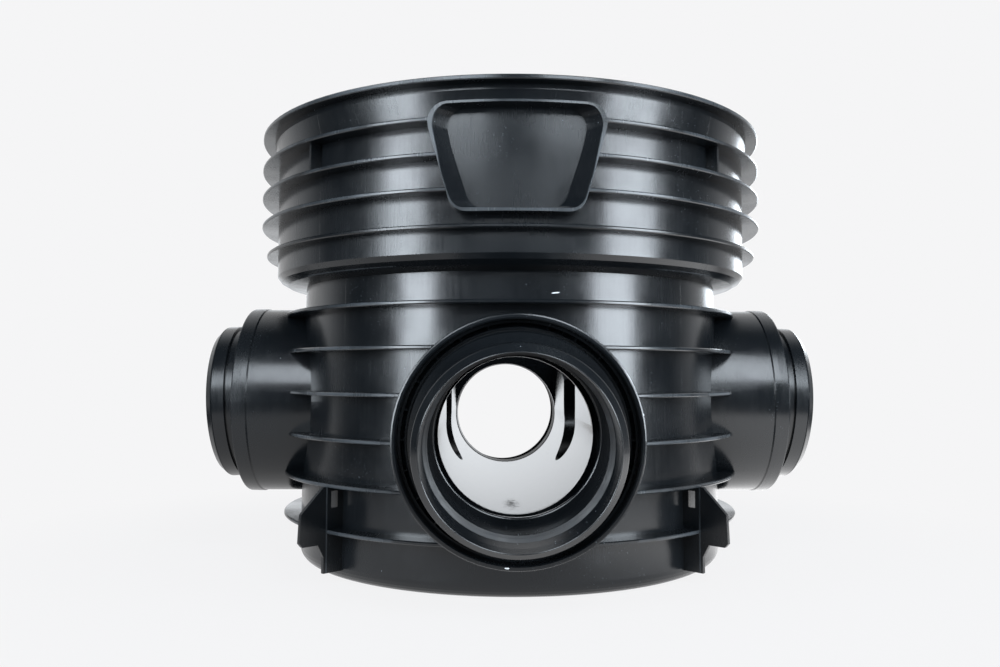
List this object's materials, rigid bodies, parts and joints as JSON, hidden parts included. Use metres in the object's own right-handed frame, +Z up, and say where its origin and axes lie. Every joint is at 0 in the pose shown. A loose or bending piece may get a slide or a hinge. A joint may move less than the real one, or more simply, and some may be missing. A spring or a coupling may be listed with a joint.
{
  "type": "drain inspection chamber base",
  "caption": "Moulded plastic base of a drain inspection chamber: a ribbed riser collar over crossed flow channels, with ball-jointed pipe sockets round its wall.",
  "frame": {"origin": "on the chamber's axis, in the plane that its foot stands on", "axes": "+Z up along the riser socket, -Y out of the socket under the name panel"},
  "size_m": [0.8646, 0.9199, 0.6],
  "materials": {
    "pp_black": "satin injection moulding",
    "pp_socket": "satin injection moulding",
    "epdm": "matt rubber"
  },
  "bodies": {
    "chamber": {"chamber_body": "pp_black", "hub_seal_front": "epdm", "hub_seal_right": "epdm", "hub_seal_back": "epdm", "hub_seal_left": "epdm"},
    "ring_front": {"retainer_ring_front": "pp_socket"},
    "sleeve_front": {"swivel_sleeve_front": "pp_socket", "pipe_seal_front": "epdm", "seal_cap_front": "pp_socket"},
    "ring_right": {"retainer_ring_right": "pp_socket"},
    "sleeve_right": {"swivel_sleeve_right": "pp_socket", "pipe_seal_right": "epdm", "seal_cap_right": "pp_socket"},
    "ring_back": {"retainer_ring_back": "pp_socket"},
    "sleeve_back": {"swivel_sleeve_back": "pp_socket", "pipe_seal_back": "epdm", "seal_cap_back": "pp_socket"},
    "ring_left": {"retainer_ring_left": "pp_socket"},
    "sleeve_left": {"swivel_sleeve_left": "pp_socket", "pipe_seal_left": "epdm", "seal_cap_left": "pp_socket"}
  },
  "joints": [
    {"name": "front_turn", "type": "hinge", "parent": "chamber", "child": "ring_front", "pos_m": [0, -0.374, 0.191], "axis": [0, -1, 0], "continuous": true},
    {"name": "front_tilt", "type": "hinge", "parent": "ring_front", "child": "sleeve_front", "pos_m": [0, -0.374, 0.191], "axis": [-1, 0, 0], "range_deg": [0, 15]},
    {"name": "right_turn", "type": "hinge", "parent": "chamber", "child": "ring_right", "pos_m": [0.3525, 0, 0.224], "axis": [1, 0, 0], "continuous": true},
    {"name": "right_tilt", "type": "hinge", "parent": "ring_right", "child": "sleeve_right", "pos_m": [0.3525, 0, 0.224], "axis": [0, -1, 0], "range_deg": [-5, 10]},
    {"name": "back_turn", "type": "hinge", "parent": "chamber", "child": "ring_back", "pos_m": [0, 0.374, 0.191], "axis": [0, 1, 0], "continuous": true},
    {"name": "back_tilt", "type": "hinge", "parent": "ring_back", "child": "sleeve_back", "pos_m": [0, 0.374, 0.191], "axis": [0.4848, 0, 0.8746], "range_deg": [-12.3, 2.7]},
    {"name": "left_turn", "type": "hinge", "parent": "chamber", "child": "ring_left", "pos_m": [-0.3525, 0, 0.224], "axis": [-1, 0, 0], "continuous": true},
    {"name": "left_tilt", "type": "hinge", "parent": "ring_left", "child": "sleeve_left", "pos_m": [-0.3525, 0, 0.224], "axis": [0, 1, 0], "range_deg": [-5, 10]}
  ]
}
